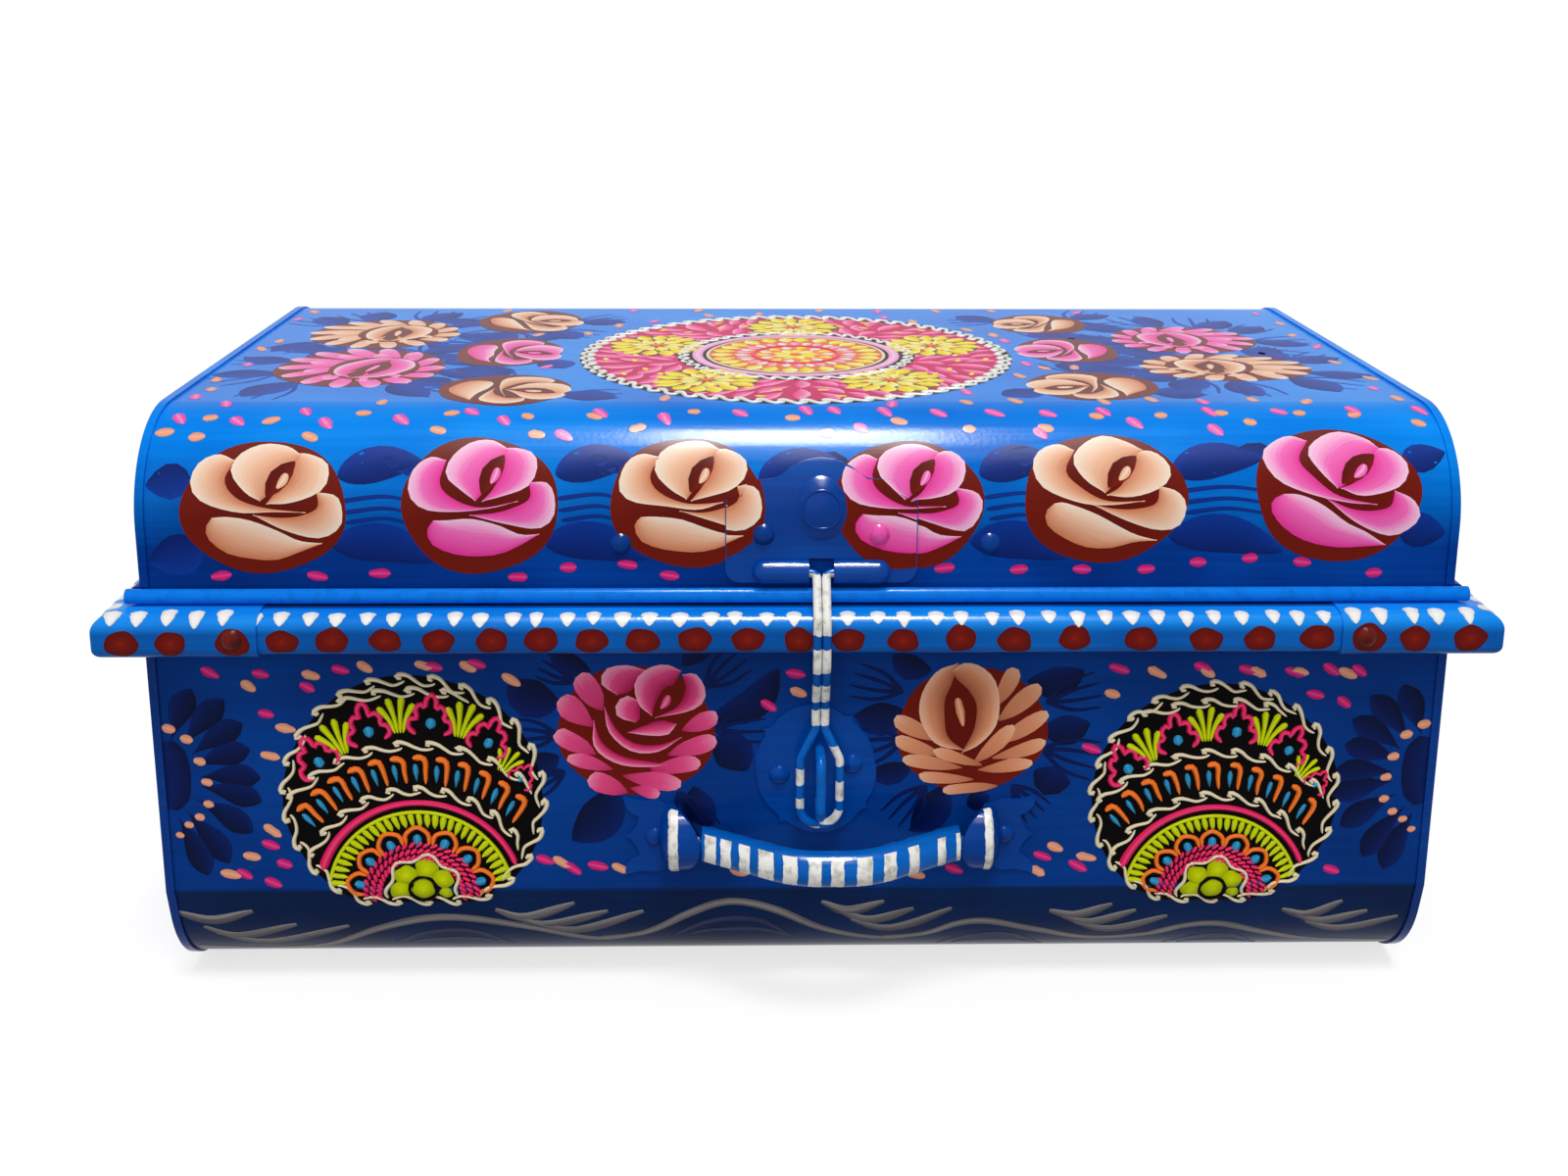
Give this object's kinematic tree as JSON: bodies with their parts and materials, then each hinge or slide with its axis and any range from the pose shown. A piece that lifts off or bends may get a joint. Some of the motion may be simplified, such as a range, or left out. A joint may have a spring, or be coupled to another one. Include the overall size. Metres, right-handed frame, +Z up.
{
  "type": "trunk",
  "caption": "Painted sheet-steel storage trunk with a hinged domed-edge lid, a hollow rim with corner caps, a wire hasp over a staple, and a bail handle on the front.",
  "frame": {"origin": "centre of the flat bottom, on the floor", "axes": "+X along the length, to the right seen from the front; the front with the hasp and the handle faces -Y; +Z up"},
  "size_m": [0.4882, 0.3008, 0.2168],
  "materials": {
    "blue_enamel": "brushed glossy blue enamel with hand-painted flowers, on sheet steel",
    "banded_enamel": "blue enamel with short white dashes, on steel wire",
    "striped_enamel": "blue enamel with white stripes, on a sheet-steel tube",
    "steel_wire": "plain drawn steel wire"
  },
  "bodies": {
    "trunk_body": {"body_wrap": "blue_enamel", "body_end_left": "blue_enamel", "body_end_right": "blue_enamel", "rim_front": "blue_enamel", "rim_back": "blue_enamel", "rim_left": "blue_enamel", "rim_right": "blue_enamel", "corner_cap_front_left": "blue_enamel", "corner_cap_front_right": "blue_enamel", "corner_cap_back_left": "blue_enamel", "corner_cap_back_right": "blue_enamel", "corner_cap_rivets": "blue_enamel", "staple_plate": "blue_enamel", "staple": "blue_enamel", "staple_plate_rivets": "blue_enamel", "handle_plate_left": "blue_enamel", "handle_plate_right": "blue_enamel", "handle_plate_rivets": "blue_enamel", "hinge_body_leaf_left": "blue_enamel", "hinge_body_leaf_right": "blue_enamel", "hinge_pin_left": "steel_wire", "hinge_pin_right": "steel_wire", "hinge_body_rivets": "blue_enamel"},
    "lid": {"lid_wrap": "blue_enamel", "lid_end_left": "blue_enamel", "lid_end_right": "blue_enamel", "lid_edge_wires": "steel_wire", "lid_strap": "blue_enamel", "lid_strap_rivets": "blue_enamel", "hasp_plate": "blue_enamel", "hasp_plate_rivets": "blue_enamel", "hinge_lid_leaf_left": "blue_enamel", "hinge_lid_leaf_right": "blue_enamel", "hinge_lid_rivets": "blue_enamel"},
    "hasp": {"hasp_loop": "banded_enamel"},
    "handle": {"handle_grip": "striped_enamel", "handle_wire": "steel_wire"}
  },
  "joints": [
    {"name": "lid_open", "type": "hinge", "parent": "trunk_body", "child": "lid", "pos_m": [0, 0.1352, 0.157], "axis": [-1, 0, 0], "range_deg": [0, 100]},
    {"name": "hasp_swing", "type": "hinge", "parent": "lid", "child": "hasp", "pos_m": [0.0066, -0.13, 0.1644], "axis": [-1, 0, 0], "range_deg": [0, 120]},
    {"name": "handle_swing", "type": "hinge", "parent": "trunk_body", "child": "handle", "pos_m": [0.0107, -0.1336, 0.0642], "axis": [-1, 0, 0], "range_deg": [-90, 32]}
  ]
}
